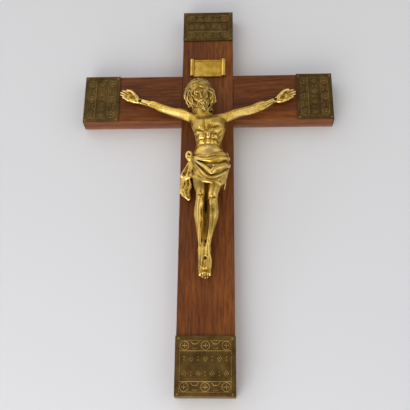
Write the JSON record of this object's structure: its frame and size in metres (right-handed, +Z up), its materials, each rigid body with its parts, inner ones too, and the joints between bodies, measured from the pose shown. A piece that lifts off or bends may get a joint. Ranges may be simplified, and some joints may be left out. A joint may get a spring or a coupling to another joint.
{
  "type": "wall crucifix",
  "caption": "Wooden wall cross with lapped beams, embossed metal end plates, a cast gilt figure with separately cast arms, a blank titulus scroll and a recessed hanging ring.",
  "frame": {"origin": "where the centre lines of the two beams cross, on the back face that lies against the wall", "axes": "+X to the viewer's right along the crossbar, +Y towards the wall, +Z up the upright"},
  "size_m": [0.249, 0.0478, 0.392],
  "materials": {
    "wood": "semi-matte reddish-brown hardwood with fine open pores",
    "plate_brass": "antique olive-brown brass, bright on raised edges",
    "gilt_brass": "polished gilt with dark patina in the recesses",
    "dark_nail": "dark browned iron",
    "pin_steel": "plain",
    "hanger_brass": "plain brass plate"
  },
  "bodies": {
    "cross": {"upright_beam": "wood", "crossbar": "wood", "head_end_plate": "plate_brass", "left_end_plate": "plate_brass", "right_end_plate": "plate_brass", "foot_end_plate": "plate_brass", "head_plate_brads": "plate_brass", "left_plate_brads": "plate_brass", "right_plate_brads": "plate_brass", "foot_plate_brads": "plate_brass", "titulus_scroll": "gilt_brass", "titulus_pins": "gilt_brass", "corpus_body": "gilt_brass", "corpus_arm_left": "gilt_brass", "corpus_arm_right": "gilt_brass", "shoulder_pins": "pin_steel", "wrist_nail_left": "dark_nail", "wrist_nail_right": "dark_nail", "foot_nail": "dark_nail", "hanger_strap": "hanger_brass", "hanger_screw": "hanger_brass"},
    "ring": {"hanger_ring": "hanger_brass"}
  },
  "joints": [
    {"name": "ring_swing", "type": "hinge", "parent": "cross", "child": "ring", "pos_m": [0, -0.00294, 0.0633], "axis": [-1, 0, 0], "range_deg": [0, 170]}
  ]
}
